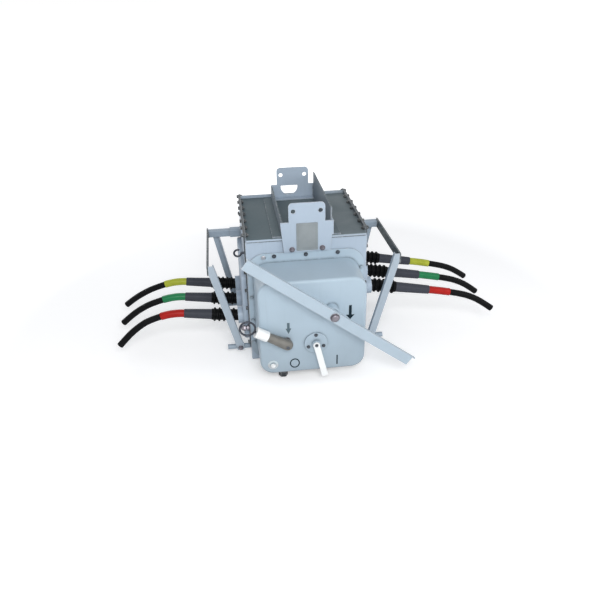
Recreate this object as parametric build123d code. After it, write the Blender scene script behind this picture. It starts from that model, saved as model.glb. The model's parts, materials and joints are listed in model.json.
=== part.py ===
from build123d import *
import os
from math import atan2, cos, hypot, radians, sin, tan

os.makedirs("parts", exist_ok=True)

# Pole-hung, gas-filled load-break switch and recloser tank, in millimetres.
# X runs to the right seen from the front, Y runs from the front to the back, Z is up.
# The origin is the middle of the tank's underside.

# Tank
TANK_WIDTH = 480.0
TANK_DEPTH = 508.0
TANK_HEIGHT = 550.0
WALL = 4.0
TANK_BEND = 10.0
LID_THICKNESS = 6.0
LID_LIP = 6.0
LID_LIP_DROP = 9.0
LID_BEND = 4.5
LID_REAR_SETBACK = 22.0
LID_REAR_LIP = 13.0
SIDE_LIP_HEIGHT = 20.0
SIDE_LIP_SETBACK = 24.0
SEAT_WIDTH = 24.0

# Side covers with their raised pans
COVER_PLATE = 6.0
COVER_CORNER = 8.0
COVER_BOTTOM_Z = 50.0
PAN_DEPTH = 20.0
PAN_CORNER = 40.0
PAN_EDGE = 8.0
PAN_MARGIN_Y = 34.0
PAN_MARGIN_Z = 10.0
SOCKET_CLEARANCE = 6.0

# Front cover of the operating mechanism
FRONT_COVER_X = -4.0
FLANGE_SIDE_MARGIN = 5.0
FLANGE_CLEARANCE = 3.0
FLANGE_BOTTOM_Z = 8.0
FLANGE_CORNER = 70.0
FLANGE_THICKNESS = 4.0
LAND_SIDE = 21.0
LAND_TOP = 38.0
LAND_BOTTOM = 34.0
DISH_CORNER = 58.0
DISH_DEPTH = 176.0
DISH_EDGE = 11.0
DISH_SHEET = 3.0
DISH_DRAFT = 1.2

# Hangers and their webs
HANGER_PLATE = 6.0
LUG_WIDTH = 142.0
LUG_TOP = 147.0
LUG_ROOT = 20.0
LUG_CORNER = 16.0
LUG_HOLE_SPACING = 106.0
LUG_HOLE_RADIUS = 9.0
LUG_HOLE_DROP = 33.0
SHOULDER_WIDTH = 208.0
SHOULDER_TOP = 70.0
HANGER_FOOT_WIDTH = 184.0
HANGER_FOOT_DROP = 53.0
HANGER_BOLT_SPACING = 120.0
HANGER_BOLT_DROP = 42.0
HANGER_BOLT_RADIUS = 6.5
HANGER_PAD_RADIUS = 14.0
RETURN_WIDTH = 24.0
REAR_HANGER_INSET = 50.0
REAR_FOOT = 25.0
SLOT_X = -16.0
SLOT_TOP = 66.0
SLOT_RADIUS = 38.0
SLOT_RISE = 5.0
WEB_X = 98.0
WEB_THICKNESS = 5.0
WEB_FOOT = 36.0
RIGHT_WEB_HEIGHT = 116.0
LEFT_WEB_HEIGHT = 60.0
PLATE_WIDTH = 84.0
PLATE_HEIGHT = 114.0
PLATE_THICKNESS = 1.5
PLATE_CORNER = 3.0
PLATE_TOP = 66.0

# Side guard frames
FRAME_INSET = 46.0
FRAME_DROP = 139.0
FRAME_LENGTH = 160.0
ARM_SIZE = 30.0
ARM_WALL = 3.0
SOCKET_SIZE = 38.0
SOCKET_LENGTH = 50.0
RAIL_HEIGHT = 40.0
RAIL_THICKNESS = 6.0
STRUT_FACE = 30.0
STRUT_RETURN = 20.0
STRUT_SHEET = 4.0
FRONT_STRUT_INSET = 11.0
REAR_STRUT_INSET = 30.0
STRUT_FOOT = 46.0
FOOT_LENGTH = 101.0
FOOT_RADIUS = 11.0
FOOT_BORE = 8.0
FOOT_Z = 37.0

# Bushings and leads
LEAD_CLEARANCE = 8.0
LEAD_Z = {"left": 168.0, "right": 267.0}
LEAD_TILT = {"left": 7.0, "right": -10.0}
BAND_END_TILT = {"left": -15.0, "right": -13.0}
SLEEVE_LENGTH = {"left": 116.0, "right": 156.0}
COLLAR_RADIUS = 36.0
COLLAR_LENGTH = 22.0
BOOT_LENGTH = 112.0
BOOT_RADIUS = 24.0
RIB_RADIUS = 30.0
RIB_ROOT = 13.0
RIB_RIM = 4.0
RIB_PITCH = 20.0
RIB_COUNT = 5
SLEEVE_RADIUS = 22.0
SLEEVE_END_RADIUS = 19.0
BAND_LENGTH = 98.0
BAND_RADIUS = 16.5
CABLE_RADIUS = 14.0

# Operating lever
LEVER_X = 69.0
LEVER_Z = 327.0
LEVER_ANGLE = -36.8
LEVER_RIGHT_ARM = 377.0
LEVER_LEFT_ARM = 405.0
LEVER_WIDTH = 42.0
LEVER_SHEET = 4.0
LEVER_FLANGE = 14.0
LEVER_CORNER = 2.0
LEVER_TAB = 14.0
LEVER_TAB_HEIGHT = 12.0
LEVER_STAND_OFF = 72.0
LEVER_SHAFT_RADIUS = 10.0
LEVER_HUB_RADIUS = 15.0
LEVER_BOSS_RADIUS = 24.0
LEVER_BOSS_LENGTH = 40.0
LEVER_BOSS_GAP = 2.0
LEVER_NUT_RADIUS = 15.0
LEVER_NUT_LENGTH = 12.0
LEVER_NUT_EDGE = 7.0
BOSS_EDGE = 2.5
SHAFT_DEPTH = 20.0
RUNNING_GAP = 0.3

# Pointer
POINTER_X = 7.0
POINTER_Z = 178.0
POINTER_ANGLE = 13.3
POINTER_LENGTH = 152.0
POINTER_WIDTH = 25.0
POINTER_HUB_RADIUS = 13.5
POINTER_CORNER = 2.0
POINTER_SHEET = 3.0
POINTER_FLANGE_RADIUS = 46.0
POINTER_FLANGE_THICKNESS = 6.0
POINTER_BOSS_RADIUS = 16.0
POINTER_STAND_OFF = 20.0
POINTER_CLEARANCE = 1.0
POINTER_SHAFT_RADIUS = 6.0

# Lock lever
LOCK_INSET = 110.0
LOCK_Z = 196.0
LOCK_ANGLE = 30.0
LOCK_ROD_LENGTH = 86.0
LOCK_ROD_RADIUS = 17.0
LOCK_ROD_END_RADIUS = 22.0
LOCK_SLEEVE_LENGTH = 52.0
LOCK_SLEEVE_RADIUS = 21.0
LOCK_SLEEVE_EDGE = 2.0
LOCK_RING_RADIUS = 29.0
LOCK_RING_SECTION = 4.0
LOCK_SHANK_RADIUS = 5.5
LOCK_SHANK_LENGTH = 2.0
LOCK_STAND_OFF = 28.0
LOCK_PIN_RADIUS = 7.0
LOCK_PIN_HEAD = 1.0
LOCK_BOSS_RADIUS = 17.0
LOCK_BOSS_GAP = 2.0

# Small parts
DRAIN_INSET = 38.0
DRAIN_SETBACK = 26.0
DRAIN_RADIUS = 21.0
DRAIN_HEX_RADIUS = 19.0
DRAIN_LENGTH = 35.0
DRAIN_HEAD = 22.0
DRAIN_PAD = 2.0
STUD_INSET = 53.0
STUD_RISE = 47.0
STUD_RADIUS = 12.0
STUD_HEIGHT = 7.0
HOOK_DROP = 64.0
HOOK_SETBACK = 39.0
HOOK_RADIUS = 14.0
HOOK_SECTION = 4.0
HOOK_STEM = 12.0
HOOK_STEM_RADIUS = 5.0
HOOK_TIP_ANGLE = 60.0

# Tails: after the first run, how far each step goes out, back and down
TAIL_FIRST_RUN = 55.0
TAIL_STEPS = {
    "left_front": [(49, -4, 29), (44, -7, 34), (38, -9, 38)],
    "left_middle": [(50, 3, 26), (46, 4, 32), (40, 3, 36)],
    "left_rear": [(51, 5, 25), (47, 8, 30), (41, 9, 34)],
    "right_front": [(53, -3, 19), (49, -6, 27), (44, -8, 32)],
    "right_middle": [(52, 2, 21), (48, 4, 29), (42, 5, 34)],
    "right_rear": [(53, 4, 20), (48, 7, 28), (43, 8, 33)],
}

# How far a piece sinks into the one it is welded to, or a cutter reaches past it
OVERLAP = 1.0

FRONT_Y = -TANK_DEPTH / 2
BACK_Y = TANK_DEPTH / 2
SIDE_X = TANK_WIDTH / 2
FACE_Y = FRONT_Y - FLANGE_THICKNESS - DISH_DEPTH
COVER_X = SIDE_X + COVER_PLATE
PAN_X = COVER_X + PAN_DEPTH
FRAME_Y = BACK_Y - FRAME_INSET
FRAME_Z = TANK_HEIGHT - FRAME_DROP
PAN_TOP_Z = FRAME_Z - SOCKET_SIZE / 2 - SOCKET_CLEARANCE
PAN_BOTTOM_Z = COVER_BOTTOM_Z + PAN_MARGIN_Z
RAIL_OUT_X = SIDE_X + FRAME_LENGTH
RAIL_IN_X = RAIL_OUT_X - RAIL_THICKNESS
STRUT_FOOT_X = SIDE_X + STRUT_FOOT
LEAD_PITCH = FRAME_Y - STRUT_RETURN - LEAD_CLEARANCE - RIB_RADIUS
COLLAR_X = PAN_X + COLLAR_LENGTH
FLANGE_WIDTH = TANK_WIDTH - 2 * FLANGE_SIDE_MARGIN
FLANGE_TOP_Z = TANK_HEIGHT - HANGER_FOOT_DROP - FLANGE_CLEARANCE
DISH_WIDTH = FLANGE_WIDTH - 2 * LAND_SIDE
DISH_TOP_Z = FLANGE_TOP_Z - LAND_TOP
DISH_BOTTOM_Z = FLANGE_BOTTOM_Z + LAND_BOTTOM
DISH_LEFT_X = FRONT_COVER_X - DISH_WIDTH / 2
HANGER_SEAT_Y = FRONT_Y - LID_LIP
REAR_SEAT_Y = BACK_Y - REAR_HANGER_INSET
LEVER_FRONT_Y = FACE_Y - LEVER_STAND_OFF
LEVER_HUB_BACK_Y = FACE_Y - LEVER_BOSS_LENGTH - LEVER_BOSS_GAP
LOCK_Y = FACE_Y - LOCK_STAND_OFF
LOCK_X = DISH_LEFT_X + LOCK_INSET
DRAIN_X = DISH_LEFT_X + DISH_CORNER + DRAIN_INSET
DRAIN_Y = FACE_Y + DRAIN_SETBACK + DRAIN_RADIUS
DRAIN_SEAT_Z = DISH_BOTTOM_Z - DRAIN_PAD
STUD_X = DISH_LEFT_X + STUD_INSET
STUD_Z = DISH_BOTTOM_Z + STUD_RISE
HOOK_Y = FRONT_Y + HOOK_SETBACK
HOOK_Z = TANK_HEIGHT - HOOK_DROP
SIDES = {"left": -1, "right": 1}


def save(name, shape):
    export_step(shape, os.path.join("parts", name + ".step"))


def block(x_span, y_span, z_span):
    """A box between two values on each axis."""
    low = (x_span[0], y_span[0], z_span[0])
    size = (x_span[1] - x_span[0], y_span[1] - y_span[0], z_span[1] - z_span[0])
    return Pos(*low) * Box(*size, align=(Align.MIN, Align.MIN, Align.MIN))


def front_plane(y):
    """A sketch plane seen from the front: its x is X, its y is Z, and it extrudes towards the viewer."""
    return Plane(origin=(0, y, 0), x_dir=(1, 0, 0), z_dir=(0, -1, 0))


def rod_y(x, z, y_front, y_back, radius):
    """A round rod along Y."""
    length = y_back - y_front
    return Pos(x, (y_front + y_back) / 2, z) * Rot(90, 0, 0) * Cylinder(radius, length)


def outward(side, y, z, start_x):
    """A plane at a side of the tank whose z direction points away from the tank."""
    return Plane(origin=(side * start_x, y, z), x_dir=(0, 1, 0), z_dir=(side, 0, 0))


# Tank: a welded box of sheet that is open at both sides
def tank_body():
    outer = block((-SIDE_X, SIDE_X), (FRONT_Y, BACK_Y), (0, TANK_HEIGHT))
    outer = fillet(outer.edges().filter_by(Axis.X), TANK_BEND)
    hollow = block(
        (-SIDE_X - OVERLAP, SIDE_X + OVERLAP),
        (FRONT_Y + WALL, BACK_Y - WALL),
        (WALL, TANK_HEIGHT - WALL),
    )
    hollow = fillet(hollow.edges().filter_by(Axis.X), TANK_BEND - WALL)
    body = outer - hollow
    for side in SIDES.values():
        inner_x = side * (SIDE_X - WALL)
        span = sorted((inner_x, side * SIDE_X))
        lip = block(span, (FRONT_Y + SIDE_LIP_SETBACK, BACK_Y), (WALL, TANK_HEIGHT + SIDE_LIP_HEIGHT))
        window = block(
            (span[0] - OVERLAP, span[1] + OVERLAP),
            (FRONT_Y + SIDE_LIP_SETBACK + SEAT_WIDTH, BACK_Y - SEAT_WIDTH),
            (COVER_BOTTOM_Z + SEAT_WIDTH, TANK_HEIGHT - SEAT_WIDTH),
        )
        body += lip - window
    return body


def lid():
    """The top sheet, with one lip turned down over the front and one turned up at the rear."""
    half = SIDE_X - WALL
    top = TANK_HEIGHT + LID_THICKNESS
    rear = BACK_Y - LID_REAR_SETBACK
    plate = block((-half, half), (FRONT_Y - LID_LIP, rear), (TANK_HEIGHT, top))
    front_lip = block((-half, half), (FRONT_Y - LID_LIP, FRONT_Y), (top - LID_LIP_DROP, top))
    rear_lip = block((-half, half), (rear - WALL, rear), (TANK_HEIGHT, top + LID_REAR_LIP))
    sheet = plate + front_lip + rear_lip
    edges = sheet.edges().filter_by(Axis.X).group_by(Axis.Y)[0]
    return fillet(edges.group_by(Axis.Z)[-1], LID_BEND)


# Side covers: a bolted plate with a raised pan that carries the three bushings
def side_cover(side, lead_z):
    plate_plane = outward(side, 0, 0, SIDE_X)
    y_mid = (FRONT_Y + SIDE_LIP_SETBACK + BACK_Y) / 2
    y_size = TANK_DEPTH - SIDE_LIP_SETBACK
    top = TANK_HEIGHT + SIDE_LIP_HEIGHT
    z_mid = (COVER_BOTTOM_Z + top) / 2
    outline = RectangleRounded(y_size, top - COVER_BOTTOM_Z, COVER_CORNER)
    plate = extrude(plate_plane * Pos(y_mid, side * z_mid) * outline, COVER_PLATE)
    pan_z = (PAN_TOP_Z + PAN_BOTTOM_Z) / 2
    pan_outline = RectangleRounded(y_size - PAN_MARGIN_Y * 2, PAN_TOP_Z - PAN_BOTTOM_Z, PAN_CORNER)
    pan = extrude(plate_plane * Pos(y_mid, side * pan_z) * pan_outline, COVER_PLATE + PAN_DEPTH)
    outer_face = pan.faces().sort_by(Axis.X)[-1 if side > 0 else 0]
    pan = fillet(outer_face.edges(), PAN_EDGE)
    cover = plate + pan
    for index in (-1, 0, 1):
        collar_plane = outward(side, index * LEAD_PITCH, lead_z, PAN_X)
        cover += extrude(collar_plane * Circle(COLLAR_RADIUS), COLLAR_LENGTH)
    return cover


# Front cover: a pressed dish with a bolted flange
def front_cover():
    flange_z = (FLANGE_TOP_Z + FLANGE_BOTTOM_Z) / 2
    flange_height = FLANGE_TOP_Z - FLANGE_BOTTOM_Z
    base = front_plane(FRONT_Y)
    flange = extrude(
        base * Pos(FRONT_COVER_X, flange_z) * RectangleRounded(FLANGE_WIDTH, flange_height, FLANGE_CORNER),
        FLANGE_THICKNESS,
    )
    dish_z = (DISH_TOP_Z + DISH_BOTTOM_Z) / 2
    dish_height = DISH_TOP_Z - DISH_BOTTOM_Z
    dish_base = base * Pos(FRONT_COVER_X, dish_z)
    dish_sketch = dish_base * RectangleRounded(DISH_WIDTH, dish_height, DISH_CORNER)
    dish = extrude(dish_sketch, FLANGE_THICKNESS + DISH_DEPTH, taper=DISH_DRAFT)
    front_face = dish.faces().sort_by(Axis.Y)[0]
    dish = fillet(front_face.edges(), DISH_EDGE)
    inner_sketch = dish_base * RectangleRounded(
        DISH_WIDTH - 2 * DISH_SHEET,
        dish_height - 2 * DISH_SHEET,
        DISH_CORNER - DISH_SHEET,
    )
    inner = extrude(inner_sketch, FLANGE_THICKNESS + DISH_DEPTH - DISH_SHEET, taper=DISH_DRAFT)
    inner_face = inner.faces().sort_by(Axis.Y)[0]
    inner = fillet(inner_face.edges(), DISH_EDGE - DISH_SHEET)
    cover = flange + dish - inner
    cover += rod_y(STUD_X, STUD_Z, FACE_Y - STUD_HEIGHT, FACE_Y + DISH_SHEET / 2, STUD_RADIUS)
    wall_rise = (FRONT_Y - DRAIN_Y) * tan(radians(DISH_DRAFT)) + DISH_SHEET / 2
    cover += Pos(DRAIN_X, DRAIN_Y, DRAIN_SEAT_Z) * Cylinder(
        DRAIN_RADIUS + DRAIN_PAD,
        DRAIN_PAD + wall_rise,
        align=(Align.CENTER, Align.CENTER, Align.MIN),
    )
    shafts = [(LEVER_X, LEVER_Z, LEVER_SHAFT_RADIUS), (POINTER_X, POINTER_Z, POINTER_SHAFT_RADIUS)]
    for x, z, radius in shafts:
        cover -= rod_y(x, z, FACE_Y - OVERLAP, FACE_Y + SHAFT_DEPTH, radius + RUNNING_GAP)
    return cover


# Hangers
def lug_outline(shoulder, bottom, foot_width):
    """The front outline of a hanger: a lug with round corners on a wider plate."""
    lug_low = SHOULDER_TOP - LUG_ROOT
    lug_height = LUG_TOP - lug_low
    lug_middle = TANK_HEIGHT + lug_low + lug_height / 2
    lug = Pos(0, lug_middle) * RectangleRounded(LUG_WIDTH, lug_height, LUG_CORNER)
    top_z = TANK_HEIGHT + SHOULDER_TOP
    low_z = TANK_HEIGHT - bottom
    points = [
        (-shoulder / 2, top_z),
        (-foot_width / 2, low_z),
        (foot_width / 2, low_z),
        (shoulder / 2, top_z),
    ]
    return lug + make_face(Polyline(*points, close=True))


def front_hanger():
    outline = lug_outline(SHOULDER_WIDTH, HANGER_FOOT_DROP, HANGER_FOOT_WIDTH)
    pads = Sketch()
    hole_z = TANK_HEIGHT + LUG_TOP - LUG_HOLE_DROP
    bolt_z = TANK_HEIGHT - HANGER_BOLT_DROP
    for direction in (-1, 1):
        bolt_x = direction * HANGER_BOLT_SPACING / 2
        outline -= Pos(direction * LUG_HOLE_SPACING / 2, hole_z) * Circle(LUG_HOLE_RADIUS)
        outline -= Pos(bolt_x, bolt_z) * Circle(HANGER_BOLT_RADIUS)
        pads += Pos(bolt_x, bolt_z) * (Circle(HANGER_PAD_RADIUS) - Circle(HANGER_BOLT_RADIUS))
    plate = extrude(front_plane(HANGER_SEAT_Y) * outline, HANGER_PLATE)
    plate += extrude(front_plane(FRONT_Y) * pads, LID_LIP)
    flange_x = SHOULDER_WIDTH / 2 - WEB_THICKNESS
    flange = block(
        (flange_x, flange_x + WEB_THICKNESS),
        (HANGER_SEAT_Y - HANGER_PLATE, HANGER_SEAT_Y + RETURN_WIDTH),
        (TANK_HEIGHT + LID_THICKNESS + WEB_THICKNESS, TANK_HEIGHT + SHOULDER_TOP),
    )
    return plate + flange


def rear_hanger():
    width = 2 * WEB_X
    outline = lug_outline(width, -LID_THICKNESS, width)
    hole_z = TANK_HEIGHT + LUG_TOP - LUG_HOLE_DROP
    for x in (-LUG_HOLE_SPACING / 2, LUG_HOLE_SPACING / 2):
        outline -= Pos(x, hole_z) * Circle(LUG_HOLE_RADIUS)
    slot_z = TANK_HEIGHT + SLOT_TOP
    slot = Pos(SLOT_X, slot_z - SLOT_RISE) * Circle(SLOT_RADIUS)
    slot -= Pos(SLOT_X, slot_z + SLOT_RADIUS) * Rectangle(2 * SLOT_RADIUS + OVERLAP, 2 * SLOT_RADIUS)
    plate = extrude(front_plane(REAR_SEAT_Y) * (outline - slot), HANGER_PLATE)
    low = TANK_HEIGHT + LID_THICKNESS
    half = WEB_X - WEB_THICKNESS - RUNNING_GAP
    foot_span = (REAR_SEAT_Y - HANGER_PLATE - REAR_FOOT, REAR_SEAT_Y - HANGER_PLATE)
    return plate + block((-half, half), foot_span, (low, low + WEB_THICKNESS))


def hanger_web(side, height):
    """An angle on the lid that joins the front hanger to the rear one."""
    low = TANK_HEIGHT + LID_THICKNESS
    y_span = (HANGER_SEAT_Y, REAR_SEAT_Y - HANGER_PLATE)
    x_in = WEB_X - WEB_THICKNESS
    upright = block(sorted((side * x_in, side * WEB_X)), y_span, (low, low + height))
    foot_span = sorted((side * WEB_X, side * (WEB_X + WEB_FOOT)))
    return upright + block(foot_span, (FRONT_Y, y_span[1]), (low, low + WEB_THICKNESS))


def name_plate():
    z = TANK_HEIGHT + PLATE_TOP - PLATE_HEIGHT / 2
    sketch = Pos(0, z) * RectangleRounded(PLATE_WIDTH, PLATE_HEIGHT, PLATE_CORNER)
    return extrude(front_plane(HANGER_SEAT_Y - HANGER_PLATE) * sketch, PLATE_THICKNESS)


# Guard frames: a rear arm, a rail that runs forward from its end, and two sloping struts
def rear_arm(side):
    """A square tube in a short socket that is welded to the side cover."""
    plane = outward(side, FRAME_Y - ARM_SIZE / 2, FRAME_Z, COVER_X)
    inner = ARM_SIZE - 2 * ARM_WALL
    socket = extrude(plane * RectangleRounded(SOCKET_SIZE, SOCKET_SIZE, ARM_WALL * 2), SOCKET_LENGTH)
    tube = extrude(plane * RectangleRounded(ARM_SIZE, ARM_SIZE, ARM_WALL), RAIL_IN_X - COVER_X)
    bore = extrude(plane * Rectangle(inner, inner), RAIL_IN_X - COVER_X)
    return socket + tube - bore


def rail(side):
    """A flat bar on edge."""
    half = RAIL_HEIGHT / 2
    return block(
        sorted((side * RAIL_IN_X, side * RAIL_OUT_X)),
        (-FRAME_Y, FRAME_Y),
        (FRAME_Z - half, FRAME_Z + half),
    )


def strut(side, top_x, cut_z):
    """A sloping angle: one leg faces the front, the other runs back along its outer edge."""
    back_y = -FRAME_Y + STRUT_SHEET
    slope = atan2(top_x - STRUT_FOOT_X, FRAME_Z - FOOT_Z)
    plane = Plane(
        origin=(side * STRUT_FOOT_X, back_y, FOOT_Z),
        x_dir=(0, 1, 0),
        z_dir=(side * sin(slope), 0, cos(slope)),
    )
    half = STRUT_FACE / 2
    section = Pos(-STRUT_SHEET / 2, 0) * Rectangle(STRUT_SHEET, STRUT_FACE)
    return_x = STRUT_RETURN / 2 - STRUT_SHEET
    return_y = side * (half - STRUT_SHEET / 2)
    section += Pos(return_x, return_y) * Rectangle(STRUT_RETURN, STRUT_SHEET)
    length = hypot(top_x - STRUT_FOOT_X, FRAME_Z - FOOT_Z) + 2 * STRUT_FACE
    bar = extrude(plane * section, length)
    foot_top = FOOT_Z + FOOT_RADIUS
    keep = block(
        sorted((side * COVER_X, side * RAIL_IN_X)),
        (-FRAME_Y, -FRAME_Y + STRUT_RETURN),
        (foot_top, cut_z),
    )
    ear = block(
        sorted((side * (STRUT_FOOT_X - half), side * (STRUT_FOOT_X + half))),
        (-FRAME_Y, back_y),
        (FOOT_Z - FOOT_RADIUS, foot_top + half),
    )
    return (bar & keep) + ear


def foot(side):
    plane = outward(side, -FRAME_Y + STRUT_SHEET + FOOT_RADIUS, FOOT_Z, SIDE_X)
    return extrude(plane * (Circle(FOOT_RADIUS) - Circle(FOOT_BORE)), FOOT_LENGTH)


# Leads: a ribbed boot, a sleeve, a phase band and the cable's tail
def lead_plane(name, y, distance):
    """A plane across a lead's straight part, at a distance from its collar; its z points outwards."""
    side = SIDES[name]
    tilt = radians(LEAD_TILT[name])
    direction = (side * cos(tilt), 0, sin(tilt))
    start = Vector(side * COLLAR_X, y, LEAD_Z[name])
    return Plane(origin=start + Vector(*direction) * distance, x_dir=(0, 1, 0), z_dir=direction)


def shed():
    """One rib of a boot about the Z axis: wide at its root and narrow at its rim."""
    half_root = RIB_ROOT / 2
    half_rim = RIB_RIM / 2
    points = [
        (0, -half_root),
        (BOOT_RADIUS - OVERLAP, -half_root),
        (RIB_RADIUS, -half_rim),
        (RIB_RADIUS, half_rim),
        (BOOT_RADIUS - OVERLAP, half_root),
        (0, half_root),
    ]
    return revolve(Plane.XZ * make_face(Polyline(*points, close=True)), Axis.Z)


def boot(name, y):
    """The ribbed boot, cut flat where it seats on its collar."""
    core = extrude(lead_plane(name, y, -COLLAR_LENGTH) * Circle(BOOT_RADIUS), BOOT_LENGTH + COLLAR_LENGTH)
    for index in range(RIB_COUNT):
        core += lead_plane(name, y, BOOT_LENGTH - RIB_ROOT - index * RIB_PITCH) * shed()
    side = SIDES[name]
    inside = block(
        sorted((side * (COLLAR_X - 2 * RIB_RADIUS), side * COLLAR_X)),
        (y - 2 * RIB_RADIUS, y + 2 * RIB_RADIUS),
        (LEAD_Z[name] - 2 * RIB_RADIUS, LEAD_Z[name] + 2 * RIB_RADIUS),
    )
    return core - inside


def sleeve(name, y):
    plane = lead_plane(name, y, BOOT_LENGTH)
    length = SLEEVE_LENGTH[name]
    cone = plane * Pos(0, 0, length / 2) * Cone(SLEEVE_RADIUS, SLEEVE_END_RADIUS, length)
    ends = cone.edges().filter_by(GeomType.CIRCLE)
    outer_end = ends.sort_by(Axis.X)[-1 if SIDES[name] > 0 else 0]
    return fillet(outer_end, SLEEVE_END_RADIUS - BAND_RADIUS)


def band_path(name, y):
    """The arc that a phase band follows from the sleeve's end to the cable."""
    plane = lead_plane(name, y, BOOT_LENGTH + SLEEVE_LENGTH[name])
    turn = radians(BAND_END_TILT[name] - LEAD_TILT[name])
    radius = BAND_LENGTH / abs(turn)
    side = SIDES[name]
    start_tilt = radians(LEAD_TILT[name])
    points = []
    for share in (0.0, 0.5, 1.0):
        tilt = start_tilt + turn * share
        out = radius * (sin(start_tilt) - sin(tilt))
        rise = radius * (cos(tilt) - cos(start_tilt))
        points.append(plane.origin + Vector(side * out, 0, rise))
    return ThreePointArc(*points)


def phase_band(name, y):
    path = band_path(name, y)
    section = Plane(origin=path @ 0, x_dir=(0, 1, 0), z_dir=path % 0) * Circle(BAND_RADIUS)
    return sweep(section, path=path)


def tail_points(name, y, steps):
    """The route of a tail: it leaves its band straight on, then follows its own steps."""
    path = band_path(name, y)
    side = SIDES[name]
    points = [path @ 1, path @ 1 + (path % 1) * TAIL_FIRST_RUN]
    for out, along, drop in steps:
        points.append(points[-1] + Vector(side * out, along, -drop))
    return points


def arc_radii(points):
    """As large an arc at each corner as its two runs allow."""
    radii = []
    for before, corner, after in zip(points, points[1:], points[2:]):
        shorter = min((corner - before).length, (after - corner).length)
        half_turn = radians((corner - before).get_angle(after - corner)) / 2
        radii.append(0.45 * shorter / tan(half_turn))
    return radii


def tail(title, points):
    radii = arc_radii(points)
    path = FilletPolyline(*points, radius=radii)
    section = Plane(origin=path @ 0, x_dir=(0, 1, 0), z_dir=path % 0) * Circle(CABLE_RADIUS)
    print(title, "length", round(path.length, 1), "radii", [round(r) for r in radii])
    print(title, "route", [tuple(round(v, 1) for v in point) for point in points])
    return sweep(section, path=path)


# Operating lever: a folded bar with two arms, on a shaft in a boss
def lever_plane(y):
    angle = radians(LEVER_ANGLE)
    return Plane(origin=(LEVER_X, y, LEVER_Z), x_dir=(cos(angle), 0, sin(angle)), z_dir=(0, -1, 0))


def operating_lever():
    length = LEVER_RIGHT_ARM + LEVER_LEFT_ARM
    middle = (LEVER_RIGHT_ARM - LEVER_LEFT_ARM) / 2
    back = lever_plane(LEVER_FRONT_Y + LEVER_FLANGE)
    outline = Pos(middle, 0) * RectangleRounded(length, LEVER_WIDTH, LEVER_CORNER)
    bar = extrude(back * outline, LEVER_FLANGE)
    inner_width = LEVER_WIDTH - 2 * LEVER_SHEET
    channel = Pos(middle, 0) * Rectangle(length + 2 * OVERLAP, inner_width)
    bar -= extrude(back * channel, LEVER_FLANGE - LEVER_SHEET)
    flange_v = (LEVER_WIDTH - LEVER_SHEET) / 2
    tab_x = LEVER_RIGHT_ARM + LEVER_TAB / 2 - OVERLAP
    tab = Pos(tab_x, flange_v) * Rectangle(LEVER_TAB + 2 * OVERLAP, LEVER_SHEET)
    bar += extrude(back * tab, LEVER_TAB_HEIGHT)
    hub_front = LEVER_FRONT_Y + LEVER_SHEET - OVERLAP
    return bar + rod_y(LEVER_X, LEVER_Z, hub_front, LEVER_HUB_BACK_Y, LEVER_HUB_RADIUS)


def lever_shaft():
    """The shaft behind the hub, and the domed nut on the lever's front."""
    shaft = rod_y(LEVER_X, LEVER_Z, LEVER_HUB_BACK_Y, FACE_Y + SHAFT_DEPTH, LEVER_SHAFT_RADIUS)
    nut_front = LEVER_FRONT_Y - LEVER_NUT_LENGTH
    nut = rod_y(LEVER_X, LEVER_Z, nut_front, LEVER_FRONT_Y, LEVER_NUT_RADIUS)
    front_edge = nut.edges().filter_by(GeomType.CIRCLE).sort_by(Axis.Y)[0]
    return Compound(children=[shaft, fillet(front_edge, LEVER_NUT_EDGE)])


def boss(x, z, height, radius, bore):
    """A round boss on the front cover's face, with a bore for a shaft."""
    body = rod_y(x, z, FACE_Y - height, FACE_Y, radius)
    edge = body.edges().filter_by(GeomType.CIRCLE).sort_by(Axis.Y)[0]
    body = fillet(edge, BOSS_EDGE)
    return body - rod_y(x, z, FACE_Y - height - OVERLAP, FACE_Y + OVERLAP, bore)


# Pointer
def pointer():
    angle = radians(POINTER_ANGLE)
    back_y = FACE_Y - POINTER_STAND_OFF
    plane = Plane(
        origin=(POINTER_X, back_y, POINTER_Z),
        x_dir=(sin(angle), 0, -cos(angle)),
        z_dir=(0, -1, 0),
    )
    blade = Pos(POINTER_LENGTH / 2, 0) * RectangleRounded(POINTER_LENGTH, POINTER_WIDTH, POINTER_CORNER)
    plate = extrude(plane * (Circle(POINTER_HUB_RADIUS) + blade), POINTER_SHEET)
    shaft = rod_y(POINTER_X, POINTER_Z, back_y - OVERLAP, FACE_Y + SHAFT_DEPTH, POINTER_SHAFT_RADIUS)
    return plate + shaft


def pointer_flange():
    disc = boss(
        POINTER_X,
        POINTER_Z,
        POINTER_FLANGE_THICKNESS,
        POINTER_FLANGE_RADIUS,
        POINTER_SHAFT_RADIUS + RUNNING_GAP,
    )
    neck = boss(
        POINTER_X,
        POINTER_Z,
        POINTER_STAND_OFF - POINTER_CLEARANCE,
        POINTER_BOSS_RADIUS,
        POINTER_SHAFT_RADIUS + RUNNING_GAP,
    )
    return disc + neck


# Lock lever: a tapered rod, a white sleeve and a pull ring
def lock_plane(distance):
    """A plane across the lock lever, at a distance from its pivot; its z points to the ring."""
    angle = radians(LOCK_ANGLE)
    direction = Vector(-cos(angle), 0, sin(angle))
    pivot = Vector(LOCK_X, LOCK_Y, LOCK_Z)
    return Plane(origin=pivot + direction * distance, x_dir=(0, 1, 0), z_dir=direction)


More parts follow.
